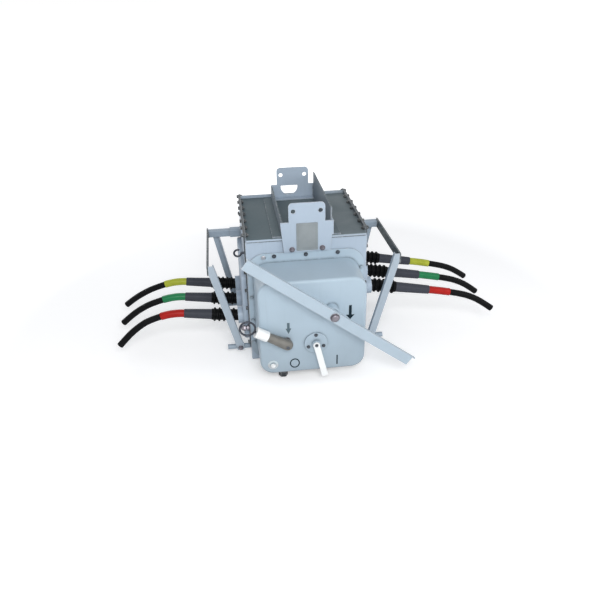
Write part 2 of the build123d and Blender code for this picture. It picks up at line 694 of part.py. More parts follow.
def lock_rod():
    taper = Cone(LOCK_ROD_END_RADIUS, LOCK_ROD_RADIUS, LOCK_ROD_LENGTH)
    rod = lock_plane(LOCK_ROD_LENGTH / 2) * taper
    rod += Pos(LOCK_X, LOCK_Y, LOCK_Z) * Sphere(LOCK_ROD_END_RADIUS)
    half = LOCK_ROD_END_RADIUS + OVERLAP
    return rod - rod_y(LOCK_X, LOCK_Z, LOCK_Y - half, LOCK_Y + half, LOCK_PIN_RADIUS + RUNNING_GAP)


def lock_sleeve():
    plane = lock_plane(LOCK_ROD_LENGTH)
    sleeve_body = extrude(plane * Circle(LOCK_SLEEVE_RADIUS), LOCK_SLEEVE_LENGTH)
    return fillet(sleeve_body.edges().filter_by(GeomType.CIRCLE), LOCK_SLEEVE_EDGE)


def lock_ring():
    end = LOCK_ROD_LENGTH + LOCK_SLEEVE_LENGTH
    centre = lock_plane(end + LOCK_SHANK_LENGTH + LOCK_RING_SECTION + LOCK_RING_RADIUS)
    ring = Pos(*centre.origin) * Rot(90, 0, 0) * Torus(LOCK_RING_RADIUS, LOCK_RING_SECTION)
    shank_length = LOCK_SHANK_LENGTH + LOCK_RING_SECTION
    return ring + extrude(lock_plane(end) * Circle(LOCK_SHANK_RADIUS), shank_length)


def lock_boss():
    """The fixed pin that the lock lever turns on, with its foot on the cover."""
    foot_height = LOCK_STAND_OFF - LOCK_ROD_END_RADIUS - LOCK_BOSS_GAP
    base = rod_y(LOCK_X, LOCK_Z, FACE_Y - foot_height, FACE_Y, LOCK_BOSS_RADIUS)
    pin_front = LOCK_Y - LOCK_ROD_END_RADIUS - LOCK_PIN_HEAD
    return base + rod_y(LOCK_X, LOCK_Z, pin_front, FACE_Y - OVERLAP, LOCK_PIN_RADIUS)


# Small parts
def drain_plug():
    base = Plane(origin=(DRAIN_X, DRAIN_Y, DRAIN_SEAT_Z), x_dir=(1, 0, 0), z_dir=(0, 0, -1))
    collar_length = DRAIN_LENGTH - DRAIN_HEAD
    collar = extrude(base * Circle(DRAIN_RADIUS), collar_length)
    hexagon = base * Pos(0, 0, collar_length) * RegularPolygon(DRAIN_HEX_RADIUS, 6)
    return collar + extrude(hexagon, DRAIN_HEAD)


def side_hook():
    """An open hook of round bar on the left side cover."""
    centre = Vector(-COVER_X - HOOK_STEM - HOOK_RADIUS, HOOK_Y, HOOK_Z)
    start = centre + Vector(HOOK_RADIUS, 0, 0)
    left = centre + Vector(-HOOK_RADIUS, 0, 0)
    tip_angle = radians(HOOK_TIP_ANGLE)
    tip = centre + Vector(HOOK_RADIUS * cos(tip_angle), 0, HOOK_RADIUS * sin(tip_angle))
    arc = ThreePointArc(start, left, tip)
    bar = sweep(Plane(origin=start, x_dir=(0, 1, 0), z_dir=(0, 0, -1)) * Circle(HOOK_SECTION), path=arc)
    stem_length = HOOK_STEM + HOOK_SECTION / 2
    stem = extrude(outward(-1, HOOK_Y, HOOK_Z, COVER_X) * Circle(HOOK_STEM_RADIUS), stem_length)
    return bar + stem


save("tank_body", tank_body())
save("lid", lid())
save("front_cover", front_cover())
save("front_hanger", front_hanger())
save("rear_hanger", rear_hanger())
save("left_hanger_web", hanger_web(-1, LEFT_WEB_HEIGHT))
save("right_hanger_web", hanger_web(1, RIGHT_WEB_HEIGHT))
save("name_plate", name_plate())
save("operating_lever", operating_lever())
save("lever_shaft", lever_shaft())
lever_bore = LEVER_SHAFT_RADIUS + RUNNING_GAP
save("lever_boss", boss(LEVER_X, LEVER_Z, LEVER_BOSS_LENGTH, LEVER_BOSS_RADIUS, lever_bore))
save("pointer", pointer())
save("pointer_flange", pointer_flange())
save("lock_rod", lock_rod())
save("lock_sleeve", lock_sleeve())
save("lock_ring", lock_ring())
save("lock_boss", lock_boss())
save("drain_plug", drain_plug())
save("side_hook", side_hook())
for side_name, side in SIDES.items():
    save(side_name + "_side_cover", side_cover(side, LEAD_Z[side_name]))
    save(side_name + "_rear_arm", rear_arm(side))
    save(side_name + "_rail", rail(side))
    front_strut = strut(side, RAIL_IN_X - FRONT_STRUT_INSET, FRAME_Z + RAIL_HEIGHT / 2)
    rear_strut = strut(side, RAIL_IN_X - REAR_STRUT_INSET, FRAME_Z - ARM_SIZE / 2)
    save(side_name + "_front_strut", front_strut)
    save(side_name + "_rear_strut", mirror(rear_strut, Plane.XZ))
    save(side_name + "_feet", Compound(children=[foot(side), mirror(foot(side), Plane.XZ)]))
    places = [index * LEAD_PITCH for index in (-1, 0, 1)]
    save(side_name + "_boots", Compound(children=[boot(side_name, y) for y in places]))
    save(side_name + "_sleeves", Compound(children=[sleeve(side_name, y) for y in places]))
    for place, y in zip(("front", "middle", "rear"), places):
        title = side_name + "_" + place
        save(title + "_band", phase_band(side_name, y))
        save(title + "_tail", tail(title + "_tail", tail_points(side_name, y, TAIL_STEPS[title])))
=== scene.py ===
import json
from collections import namedtuple
from math import cos, pi, radians, sin, tau

import bmesh
import bpy
from mathutils import Matrix, Vector


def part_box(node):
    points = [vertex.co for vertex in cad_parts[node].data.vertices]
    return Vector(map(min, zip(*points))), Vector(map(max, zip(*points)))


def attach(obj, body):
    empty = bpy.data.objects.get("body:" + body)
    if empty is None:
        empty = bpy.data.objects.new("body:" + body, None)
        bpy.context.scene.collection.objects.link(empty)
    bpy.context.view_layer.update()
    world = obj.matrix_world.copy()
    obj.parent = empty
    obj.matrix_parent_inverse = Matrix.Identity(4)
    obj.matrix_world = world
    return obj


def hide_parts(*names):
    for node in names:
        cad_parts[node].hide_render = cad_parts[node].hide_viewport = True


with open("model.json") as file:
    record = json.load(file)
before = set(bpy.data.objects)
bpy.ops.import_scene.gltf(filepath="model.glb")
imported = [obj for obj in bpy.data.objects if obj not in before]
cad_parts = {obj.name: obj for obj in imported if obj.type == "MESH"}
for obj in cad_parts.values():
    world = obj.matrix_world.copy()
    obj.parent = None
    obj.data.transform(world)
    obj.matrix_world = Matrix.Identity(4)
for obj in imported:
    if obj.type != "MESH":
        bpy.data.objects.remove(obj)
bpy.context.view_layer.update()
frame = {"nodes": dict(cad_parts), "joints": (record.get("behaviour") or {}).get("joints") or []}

NODES = frame["nodes"]
SIDES = {"left": -1, "right": 1}
FRONT = (0, -1, 0)
Place = namedtuple("Place", "x y z")


# Places and sizes of the solids, in metres
def corners(node):
    """A node's lowest and highest corners at rest, to a hundredth of a millimetre."""
    return [Place(*(round(value, 5) for value in corner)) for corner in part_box(node)]


HINGES = {joint["name"]: Place(*joint["pos_m"]) for joint in frame["joints"]}
LEVER = HINGES["lever_swing"]
POINTER = HINGES["pointer_turn"]
LOCK = HINGES["lock_swing"]
TANK_LOW, TANK_HIGH = corners("tank_body")
LID_LOW, LID_HIGH = corners("lid")
COVER_LOW, COVER_HIGH = corners("right_side_cover")
FRONT_COVER_LOW, FRONT_COVER_HIGH = corners("front_cover")
PLATE_LOW, PLATE_HIGH = corners("name_plate")
FACE_Y = corners("lever_boss")[1].y
WALL_THICKNESS = 0.004
UPSTAND_HEIGHT = 0.020
COVER_THICKNESS = 0.006
FLANGE_THICKNESS = 0.004
POINTER_FLANGE_THICKNESS = 0.006
TANK_TOP_Z = TANK_HIGH.z - UPSTAND_HEIGHT
COVER_X = TANK_HIGH.x + COVER_THICKNESS

# Colours, as linear values
HOUSING = (0.40, 0.48, 0.57)
COVER_BLUE = (0.41, 0.51, 0.59)
# EDGE_GREY is the dark grey of the painted shade on the rims, the plates' edges and the front cover's lower
# and downward faces, and the base of the dark nuts
EDGE_GREY = (0.075, 0.085, 0.09)
# The lid's grey and the webs' greys are painted shade: faces that look up or turn inwards drawn darker than
# the housing's blue
LID_SHADE_GREY = (0.096, 0.132, 0.148)
WEB_SHADE_GREY = (0.185, 0.222, 0.258)
FRAME_BLUE = (0.32, 0.39, 0.46)
# The front struts' blue is a lit copy of the frame's blue: painted light
STRUT_LIT_BLUE = (0.405, 0.475, 0.54)
# The rails' dark grey is painted shade, for faces that turn away from the light
RAIL_SHADE_GREY = (0.06, 0.075, 0.08)
LEVER_BLUE = (0.42, 0.51, 0.585)
WHITE = (0.84, 0.86, 0.86)
PALE_BLUE = (0.55, 0.64, 0.68)
PLATE_GREY = (0.26, 0.29, 0.30)
STEEL = (0.58, 0.57, 0.59)
NUT_GREY = (0.23, 0.215, 0.24)
ZINC = (0.10, 0.11, 0.125)
RING_GREY = (0.045, 0.05, 0.065)
ROD_GREY = (0.17, 0.165, 0.15)
DARK = (0.03, 0.035, 0.04)
INK = (0.012, 0.025, 0.035)
FADED_INK = (0.11, 0.16, 0.19)
INSULATION = (0.62, 0.60, 0.55)
RUBBER_BLACK = (0.004, 0.0045, 0.005)
SLEEVE_GREY = (0.05, 0.054, 0.068)
RED = (0.42, 0.012, 0.008)
GREEN = (0.01, 0.20, 0.07)
YELLOW = (0.42, 0.46, 0.04)
COPPER = (0.60, 0.25, 0.13)
WORN_AND_HIGHLIGHT = (0.50, 0.51, 0.52)
# A pale grey for the dust on the lid and for its painted sheen
DUST_AND_SHEEN = (0.245, 0.275, 0.285)
RUBBER_DUST = 0.009
FLOOR_GREY = (0.88, 0.88, 0.88)

# Where the paint changes, mostly painted shade and a painted sheen: the start and the end of each change, in
# metres or as a part of the normal
FOOT_SHADE_Z = (0.04, 0.26)
LID_SHEEN_X = (-0.24, 0.22)
RIM_FADE = 0.005
RIM_Z = (TANK_TOP_Z, TANK_TOP_Z + RIM_FADE)
PLATE_EDGE_FADE = 0.0002
PLATE_EDGE_X = (COVER_X - PLATE_EDGE_FADE, COVER_X + PLATE_EDGE_FADE)
LOOKING_UP = (0.55, 0.85)
LOOKING_DOWN = (-0.75, -0.25)
LOOKING_SIDEWAYS = (0.3, 0.7)

# Ambient occlusion: rays for one sample, and how far they look for an edge, a corner or a crevice
OCCLUSION_SAMPLES = 8
EDGE_REACH = 0.0022
CORNER_REACH = 0.012
CREVICE_REACH = 0.006

# Numbers of a Mix node's sockets when it mixes colours
SHARE_INPUT = 0
FIRST_COLOUR_INPUT = 6
SECOND_COLOUR_INPUT = 7
COLOUR_OUTPUT = 2


# Steps that the materials are made of
def new_material(name):
    material = bpy.data.materials.new(name)
    material.use_nodes = True
    tree = material.node_tree
    shader = tree.nodes["Principled BSDF"]
    return material, tree, shader


def noise(tree, scale, detail, distortion=0.0, stretch=(1, 1, 1)):
    """Noise in the object's own metres, so that it stays on its piece at every pose."""
    place = tree.nodes.new("ShaderNodeTexCoord")
    mapping = tree.nodes.new("ShaderNodeMapping")
    mapping.inputs["Scale"].default_value = stretch
    texture = tree.nodes.new("ShaderNodeTexNoise")
    texture.inputs["Scale"].default_value = scale
    texture.inputs["Detail"].default_value = detail
    texture.inputs["Distortion"].default_value = distortion
    tree.links.new(place.outputs["Object"], mapping.inputs["Vector"])
    tree.links.new(mapping.outputs["Vector"], texture.inputs["Vector"])
    return texture.outputs["Fac"]


def spread(tree, value, given, wanted=(0.0, 1.0)):
    """Maps a given range of a value to the wanted one, clamped."""
    node = tree.nodes.new("ShaderNodeMapRange")
    node.inputs["From Min"].default_value, node.inputs["From Max"].default_value = given
    node.inputs["To Min"].default_value, node.inputs["To Max"].default_value = wanted
    tree.links.new(value, node.inputs["Value"])
    return node.outputs["Result"]


def mixed(tree, share, first, second):
    """Mixes two colours by a share; each is a colour or an output socket."""
    node = tree.nodes.new("ShaderNodeMix")
    node.data_type = "RGBA"
    for number, value in ((FIRST_COLOUR_INPUT, first), (SECOND_COLOUR_INPUT, second)):
        if isinstance(value, bpy.types.NodeSocket):
            tree.links.new(value, node.inputs[number])
        else:
            node.inputs[number].default_value = (*value, 1)
    tree.links.new(share, node.inputs[SHARE_INPUT])
    return node.outputs[COLOUR_OUTPUT]


def patched(tree, base, colour, texture, band, most=1.0):
    """Lays a colour over a base: nowhere at the low end of a texture's band, and most at its high end."""
    return mixed(tree, spread(tree, texture, band, (0.0, most)), base, colour)


def worked_out(tree, operation, *values):
    """One step of arithmetic on output sockets."""
    node = tree.nodes.new("ShaderNodeMath")
    node.operation = operation
    for socket, value in zip(node.inputs, values):
        tree.links.new(value, socket)
    return node.outputs["Value"]


def darker(colour, share):
    return tuple(channel * share for channel in colour)


def part_of(tree, source, axis):
    """One axis of a point's own place or normal."""
    place = tree.nodes.new("ShaderNodeTexCoord")
    split = tree.nodes.new("ShaderNodeSeparateXYZ")
    tree.links.new(place.outputs[source], split.inputs["Vector"])
    return split.outputs[axis]


def occlusion(tree, reach, inside=False):
    """1 where nothing is near, less in a corner, or less along an outer edge if it looks inside."""
    node = tree.nodes.new("ShaderNodeAmbientOcclusion")
    node.inside = inside
    node.inputs["Distance"].default_value = reach
    node.samples = OCCLUSION_SAMPLES
    return node.outputs["AO"]


def corner_shade(tree, reach, band):
    """Painted shade: 1 deep in a corner, where shade falls, and 0 in the open."""
    return spread(tree, occlusion(tree, reach), band, wanted=(1.0, 0.0))


def bump(tree, shader, texture, strength, distance):
    node = tree.nodes.new("ShaderNodeBump")
    node.inputs["Strength"].default_value = strength
    node.inputs["Distance"].default_value = distance
    tree.links.new(texture, node.inputs["Height"])
    tree.links.new(node.outputs["Normal"], shader.inputs["Normal"])


def surface(tree, shader, base, texture, band, roughness):
    """Joins the base colour to the shader, and a roughness that varies with a texture."""
    tree.links.new(base, shader.inputs["Base Color"])
    tree.links.new(spread(tree, texture, band, roughness), shader.inputs["Roughness"])


# Masks: each gives how much of a mark's colour a point has; several marks are painted shade or a painted
# sheen
def up_facing_shade(tree):
    """Painted shade: 1 on faces that look up, which take the darker colour of shade, and 0 on upright ones.
    """
    return spread(tree, part_of(tree, "Normal", "Z"), LOOKING_UP)


def downward_shade(tree):
    """Painted shade on faces that look down."""
    return spread(tree, part_of(tree, "Normal", "Z"), LOOKING_DOWN, wanted=(0.75, 0.0))


def foot_shade(tree):
    """Painted shade: darkening in patches that grows towards the foot of the front cover."""
    towards_foot = spread(tree, part_of(tree, "Object", "Z"), FOOT_SHADE_Z, wanted=(0.34, 0.0))
    blotches = noise(tree, scale=14.0, detail=5.0)
    patches = spread(tree, blotches, given=(0.25, 0.7), wanted=(0.5, 1.0))
    return worked_out(tree, "MULTIPLY", towards_foot, patches)


def dust_and_sheen(tree):
    """Patches of dust on the lid, with a painted sheen that grows towards the right."""
    sheen = spread(tree, part_of(tree, "Object", "X"), LID_SHEEN_X, wanted=(0.0, 0.50))
    drifts = noise(tree, scale=11.0, detail=5.0, distortion=0.5)
    patches = spread(tree, drifts, given=(0.25, 0.7), wanted=(0.45, 1.0))
    return worked_out(tree, "MULTIPLY", sheen, patches)


def rim_shade(tree):
    """Painted shade on the upstands beside the lid, darker above the tank's top."""
    return spread(tree, part_of(tree, "Object", "Z"), RIM_Z, wanted=(0.0, 0.88))


def plate_edge_shade(tree):
    """Painted shade: 1 on the narrow edges of a side cover's plate, which face sideways."""
    reach = worked_out(tree, "ABSOLUTE", part_of(tree, "Object", "X"))
    on_plate = spread(tree, reach, PLATE_EDGE_X, wanted=(1.0, 0.0))
    tilt = worked_out(tree, "ABSOLUTE", part_of(tree, "Normal", "X"))
    on_edge = spread(tree, tilt, LOOKING_SIDEWAYS, wanted=(1.0, 0.0))
    return worked_out(tree, "MULTIPLY", on_plate, on_edge)


def wear_and_edge_highlight(tree):
    """Outer edges where handling has rubbed the paint, drawn lighter also as a painted highlight."""
    rubbed = spread(tree, occlusion(tree, EDGE_REACH, inside=True), given=(0.62, 0.93), wanted=(1.0, 0.0))
    wear = noise(tree, scale=70.0, detail=6.0)
    patches = spread(tree, wear, given=(0.46, 0.60), wanted=(0.12, 0.8))
    return worked_out(tree, "MULTIPLY", rubbed, patches)


# Materials
def painted(name, colour, roughness=0.42, dirt_and_shade=0.25, streaks=0.10, upright=None, masks=(), gloss=0.3):
    """Sprayed and baked paint: faint orange peel, rain marks, specks, worn edges with a painted highlight,
    dust with painted shade in the corners, and, given an upright colour, painted shade on faces that look
    up.
    """
    material, tree, shader = new_material(name)
    clouds = noise(tree, scale=7.0, detail=4.0)
    base = patched(tree, darker(colour, share=0.94), colour, clouds, band=(0.3, 0.7))
    runs = noise(tree, scale=9.0, detail=5.0, distortion=0.3, stretch=(9, 9, 0.5))
    base = patched(tree, base, darker(colour, share=0.62), runs, band=(0.55, 0.75), most=streaks)
    specks = noise(tree, scale=260.0, detail=2.0)
    base = patched(tree, base, darker(colour, share=0.55), specks, band=(0.70, 0.76), most=0.35)
    # For the lid and the webs this is painted shade: faces that look up take the paint's dark colour,
    # upright ones the upright colour
    if upright:
        base = mixed(tree, up_facing_shade(tree), upright, base)
    # Worn paint and a painted highlight on outer edges
    base = mixed(tree, wear_and_edge_highlight(tree), base, WORN_AND_HIGHLIGHT)
    for mask, mask_colour in masks:
        base = mixed(tree, mask(tree), base, mask_colour)
    # Dust and painted shade in the corners: a darker colour where ambient occlusion finds a corner
    darkening_amount = spread(tree, noise(tree, scale=40.0, detail=4.0), (0.25, 0.6), (0.3 * dirt_and_shade, 1.6 * dirt_and_shade))
    dust_and_shade = worked_out(tree, "MULTIPLY", corner_shade(tree, CORNER_REACH, band=(0.35, 0.95)), darkening_amount)
    base = mixed(tree, dust_and_shade, base, darker(colour, share=0.30))
    surface(tree, shader, base, clouds, band=(0.3, 0.7), roughness=(roughness - 0.06, roughness + 0.08))
    shader.inputs["Specular IOR Level"].default_value = gloss
    peel = noise(tree, scale=420.0, detail=2.0)
    bump(tree, shader, peel, strength=0.10, distance=0.0006)
    return material


def metal(name, colour, roughness, brushed=(1, 1, 1), metallic=1.0, patch_scale=45.0):
    """Plated or turned metal with fine lines, dull patches and painted shade in its crevices."""
    material, tree, shader = new_material(name)
    lines = noise(tree, scale=300.0, detail=4.0, stretch=brushed)
    patches = noise(tree, scale=patch_scale, detail=3.0)
    base = patched(tree, colour, darker(colour, share=0.80), patches, band=(0.35, 0.7))
    # Painted shade: darker in the crevices that ambient occlusion finds
    base = mixed(tree, corner_shade(tree, CREVICE_REACH, band=(0.3, 0.9)), base, darker(colour, share=0.35))
    surface(tree, shader, base, lines, band=(0.2, 0.8), roughness=(roughness - 0.08, roughness + 0.14))
    shader.inputs["Metallic"].default_value = metallic
    bump(tree, shader, lines, strength=0.15, distance=0.0003)
    return material


def rubber(name, colour, roughness, gloss):
    """Moulded rubber or heat-shrink sleeve: fine grain and dusty patches."""
    material, tree, shader = new_material(name)
    patches = noise(tree, scale=30.0, detail=5.0)
    dust_and_shade = tuple(channel + RUBBER_DUST for channel in darker(colour, share=0.8))
    base = patched(tree, colour, dust_and_shade, patches, band=(0.45, 0.8), most=0.5)
    surface(tree, shader, base, patches, band=(0.3, 0.7), roughness=(roughness - 0.08, roughness + 0.12))
    shader.inputs["Specular IOR Level"].default_value = gloss
    grain = noise(tree, scale=900.0, detail=2.0)
    bump(tree, shader, grain, strength=0.2, distance=0.0003)
    return material


def plastic(name, colour, roughness, gloss=0.25):
    """Moulded or shrunk plastic with faint ripples and handling marks."""
    material, tree, shader = new_material(name)
    patches = noise(tree, scale=24.0, detail=4.0)
    base = patched(tree, colour, darker(colour, share=0.78), patches, band=(0.35, 0.75))
    marks = noise(tree, scale=120.0, detail=4.0, distortion=0.6)
    base = patched(tree, base, darker(colour, share=0.45), marks, band=(0.62, 0.72), most=0.3)
    surface(tree, shader, base, patches, band=(0.3, 0.7), roughness=(roughness - 0.08, roughness + 0.10))
    shader.inputs["Specular IOR Level"].default_value = gloss
    ripple = noise(tree, scale=160.0, detail=2.0)
    bump(tree, shader, ripple, strength=0.12, distance=0.0006)
    return material


LOOKS = {
    "tank": painted("tank_paint", HOUSING, masks=[(rim_shade, EDGE_GREY)]),
    "side_cover": painted("side_cover_paint", HOUSING,
                          masks=[(rim_shade, EDGE_GREY), (plate_edge_shade, EDGE_GREY)]),
    "lid": painted("lid_paint", LID_SHADE_GREY, roughness=0.55, dirt_and_shade=0.15, streaks=0.25, upright=HOUSING,
                   masks=[(dust_and_sheen, DUST_AND_SHEEN)], gloss=0.15),
    "cover": painted("cover_paint", COVER_BLUE, roughness=0.36, dirt_and_shade=0.55,
                     masks=[(foot_shade, EDGE_GREY), (downward_shade, EDGE_GREY)]),
    "bolt_paint": painted("bolt_paint", darker(COVER_BLUE, share=0.8), roughness=0.4, dirt_and_shade=0.6),
    "nut_grey": painted("nut_grey", darker(EDGE_GREY, share=0.7), roughness=0.5, dirt_and_shade=0.5, gloss=0.15),
    "hanger": painted("hanger_paint", HOUSING, roughness=0.40),
    "web": painted("web_paint", LID_SHADE_GREY, roughness=0.5, dirt_and_shade=0.15, streaks=0.25, upright=WEB_SHADE_GREY,
                   gloss=0.2),
    "frame": painted("frame_paint", FRAME_BLUE, roughness=0.42, dirt_and_shade=0.4),
    # The front struts: a lighter, lit copy of the frame's paint
    "strut": painted("strut_paint", STRUT_LIT_BLUE, roughness=0.42, dirt_and_shade=0.4),
    "rail": painted("rail_paint", RAIL_SHADE_GREY, roughness=0.45, dirt_and_shade=0.3),
    "lever": painted("lever_paint", LEVER_BLUE, roughness=0.38, dirt_and_shade=0.2, streaks=0.05),
    "white": painted("white_paint", WHITE, roughness=0.4, dirt_and_shade=0.15, streaks=0.03),
    "pale": painted("pale_ring", PALE_BLUE, roughness=0.4, dirt_and_shade=0.15, streaks=0.03),
    "dark": painted("dark_paint", DARK, roughness=0.4, dirt_and_shade=0.2, streaks=0.1),
    "plate": metal("plate_metal", PLATE_GREY, roughness=0.45, brushed=(30, 1, 1), metallic=0.3,
                   patch_scale=12.0),
    "steel": metal("bright_steel", STEEL, roughness=0.30),
    "nut_steel": metal("nut_steel", NUT_GREY, roughness=0.38),
    "ring": metal("ring_steel", RING_GREY, roughness=0.35, metallic=0.6),
    "zinc": metal("zinc_plating", ZINC, roughness=0.42, metallic=0.8),
    "rod": metal("rod_finish", ROD_GREY, roughness=0.5, metallic=0.3),
    "copper": metal("copper_strands", COPPER, roughness=0.3),
    "ink": plastic("mark_ink", INK, roughness=0.5, gloss=0.1),
    "faded_ink": plastic("faded_ink", FADED_INK, roughness=0.5, gloss=0.1),
    "insulation": plastic("cable_insulation", INSULATION, roughness=0.5),
    "white_plastic": plastic("white_plastic", WHITE, roughness=0.4),
    "red": plastic("red_wrap", RED, roughness=0.38, gloss=0.18),
    "green": plastic("green_wrap", GREEN, roughness=0.38),
    "yellow": plastic("yellow_wrap", YELLOW, roughness=0.38),
    "boot": rubber("boot_rubber", RUBBER_BLACK, roughness=0.42, gloss=0.05),
    "sleeve": rubber("sleeve_rubber", SLEEVE_GREY, roughness=0.5, gloss=0.12),
    "jacket": rubber("cable_jacket", RUBBER_BLACK, roughness=0.45, gloss=0.07),
}

# The look of each solid that stays
FINISHES = {
    "tank": ["tank_body"],
    "side_cover": ["left_side_cover", "right_side_cover"],
    "lid": ["lid"],
    "cover": ["front_cover", "lever_boss", "pointer_flange"],
    "hanger": ["front_hanger", "rear_hanger"],
    "web": ["left_hanger_web", "right_hanger_web"],
    "frame": [side + part for side in SIDES for part in ("_rear_arm", "_rear_strut", "_feet")],
    "strut": ["left_front_strut", "right_front_strut"],
    "rail": ["left_rail", "right_rail"],
    "lever": ["operating_lever"],
    "white": ["pointer"],
    "plate": ["name_plate"],
    "steel": ["lock_boss"],
    "nut_steel": ["lever_shaft"],
    "ring": ["lock_ring", "side_hook"],
    "rod": ["lock_rod"],
    "dark": ["drain_plug"],
    "white_plastic": ["lock_sleeve"],
    "boot": ["left_boots", "right_boots"],
    "sleeve": ["left_sleeves", "right_sleeves"],
    "red": ["left_front_band", "right_front_band"],
    "green": ["left_middle_band", "right_middle_band"],
    "yellow": ["left_rear_band", "right_rear_band"],
}
for look, nodes in FINISHES.items():
    for node in nodes:
        mesh = NODES[node].data
        mesh.materials.clear()
        mesh.materials.append(LOOKS[look])

# Camera, at the photograph's viewing angle
YAW = radians(6.95)
PITCH = radians(28.74)
ROLL = radians(-1.02)
CAMERA_PLACE = (-0.2986, -2.4495, 1.4875)
SENSOR_WIDTH_MM = 36.0
FOCAL_LENGTH_MM = 36.785
camera_data = bpy.data.cameras.new("camera")
camera_data.sensor_fit = "HORIZONTAL"
camera_data.sensor_width = SENSOR_WIDTH_MM
camera_data.lens = FOCAL_LENGTH_MM
camera = bpy.data.objects.new("camera", camera_data)
bpy.context.scene.collection.objects.link(camera)
forward = Vector((sin(YAW) * cos(PITCH), cos(YAW) * cos(PITCH), -sin(PITCH)))
level_right = Vector((cos(YAW), -sin(YAW), 0))
level_up = level_right.cross(forward)
camera_right = level_right * cos(ROLL) + level_up * sin(ROLL)
camera_up = level_up * cos(ROLL) - level_right * sin(ROLL)
turn = Matrix((camera_right, camera_up, -forward)).transposed().to_4x4()
camera.matrix_world = Matrix.Translation(CAMERA_PLACE) @ turn
bpy.context.scene.camera = camera

# Mesh code for the small pieces
HEXAGON = 6
SHARP_ANGLE = radians(32)


def facing(place, direction):
    """A matrix at a place whose Z axis points in a direction."""
    return Matrix.Translation(place) @ Vector(direction).to_track_quat("Z", "Y").to_matrix().to_4x4()


def lathe(mesh, matrix, profile, sides=24):
    """A closed turned solid; the profile has (height, radius) pairs. Six sides make a hexagon."""
    rings = []
    for height, radius in profile:
        ring = []
        for step in range(sides):
            angle = tau * step / sides
            ring.append(mesh.verts.new(matrix @ Vector((radius * cos(angle), radius * sin(angle), height))))
        rings.append(ring)
    for low, high in zip(rings, rings[1:]):
        for step in range(sides):
            after = (step + 1) % sides
            mesh.faces.new((low[step], low[after], high[after], high[step]))
    mesh.faces.new(reversed(rings[0]))
    mesh.faces.new(rings[-1])


def chamfered(root, shoulder, top, radius, top_radius):
    """The profile of a disc or head: straight from its root to its shoulder, then in to its top."""
    return [(root, radius), (shoulder, radius), (top, top_radius)]


def slab(mesh, outline, span):
    """A thin plate between two Y values; the outline has (x, z) pairs."""
    front = [mesh.verts.new((x, span[0], z)) for x, z in outline]
    back = [mesh.verts.new((x, span[1], z)) for x, z in outline]
    mesh.faces.new(front)
    mesh.faces.new(reversed(back))
    for step in range(len(outline)):
        after = (step + 1) % len(outline)
        mesh.faces.new((front[step], back[step], back[after], front[after]))


def bar(mesh, x_span, y_span, z_span):
    """A bar with square corners."""
    left, right = x_span
    low, high = z_span
    slab(mesh, [(left, low), (right, low), (right, high), (left, high)], y_span)


def about(middle, half):
    """The two values at half a width from a middle."""
    return middle - half, middle + half


def finished(name, mesh, look, body="tank"):
    """Turns built mesh code into a piece that rides on a body."""
    bmesh.ops.recalc_face_normals(mesh, faces=mesh.faces)
    data = bpy.data.meshes.new(name)
    mesh.to_mesh(data)
    mesh.free()
    data.shade_smooth()
    data.set_sharp_from_angle(angle=SHARP_ANGLE)
    data.materials.append(LOOKS[look])
    piece = bpy.data.objects.new(name, data)
    bpy.context.scene.collection.objects.link(piece)
    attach(piece, body)
    return piece


def turned(name, place, direction, sections, look, body="tank"):
    """A piece turned about one axis; each section has a profile and a number of sides."""
    mesh = bmesh.new()
    for profile, sides in sections:
        lathe(mesh, facing(place, direction), profile, sides)
    finished(name, mesh, look, body)


# Bolts and nuts: half the width over flats and the height of the head, with a washer's radius and
# the length of a bolt's end where there is one
OVERLAP = 0.0005
WASHER_HEIGHT = 0.0016
WASHER_SHOULDER = WASHER_HEIGHT - 0.0003
WASHER_CHAMFER = 0.0004
HEAD_CHAMFER = 0.0012
HEAD_TOP_SHARE = 0.87
END_CHAMFER = 0.0008
END_SHARE = 0.5
END_TOP_SHARE = 0.4
COVER_BOLT = dict(half_width=0.0065, height=0.0055, washer=0.0078, look="nut_grey")
UPSTAND_NUT = dict(half_width=0.0075, height=0.007, end=0.003, look="nut_grey")
TOP_BOLT = dict(half_width=0.0062, height=0.005, washer=0.0085)
FLANGE_BOLT = dict(half_width=0.0058, height=0.005, washer=0.0080, look="bolt_paint", slot="cover_paint")
HANGER_BOLT = dict(half_width=0.0078, height=0.0065, washer=0.0112, end=0.003, look="nut_steel",
                   slot="bright_steel")
FOOT_BOLT = dict(half_width=0.0085, height=0.007, washer=0.011, end=0.004, look="nut_steel",
                 slot="bright_steel")
FLANGE_SCREW = dict(half_width=0.0055, height=0.004, washer=0.007)


def bolts(name, places, direction, half_width, height, washer=0.0, end=0.0, look="zinc", slot="dark_steel"):
    """Hexagon heads or nuts in one piece, with washers and bolt ends where they have a size."""
    radius = half_width / cos(pi / HEXAGON)
    base = WASHER_HEIGHT if washer else 0.0
    top = base + height
    tip = top + end
    disc = chamfered(-OVERLAP, WASHER_SHOULDER, WASHER_HEIGHT, washer, washer - WASHER_CHAMFER)
    head = chamfered(base - OVERLAP, top - HEAD_CHAMFER, top, radius, radius * HEAD_TOP_SHARE)
    shank = chamfered(top - OVERLAP, tip, tip + END_CHAMFER, radius * END_SHARE, radius * END_TOP_SHARE)
    mesh = bmesh.new()
    for place in places:
        along = facing(place, direction)
        if washer:
            lathe(mesh, along, disc)
        lathe(mesh, along, head, HEXAGON)
        if end:
            lathe(mesh, along, shank)
    finished(name, mesh, look)


# Weld beads: the length of a drop, the share of a bead's radius at its ends, and two ripples, each
# with its size as a share of the radius and its turn from drop to drop in radians
DROP_LENGTH = 0.0022
BEAD_END_SHARE = 0.5
RIPPLES = ((0.16, 2.1), (0.05, 0.7))


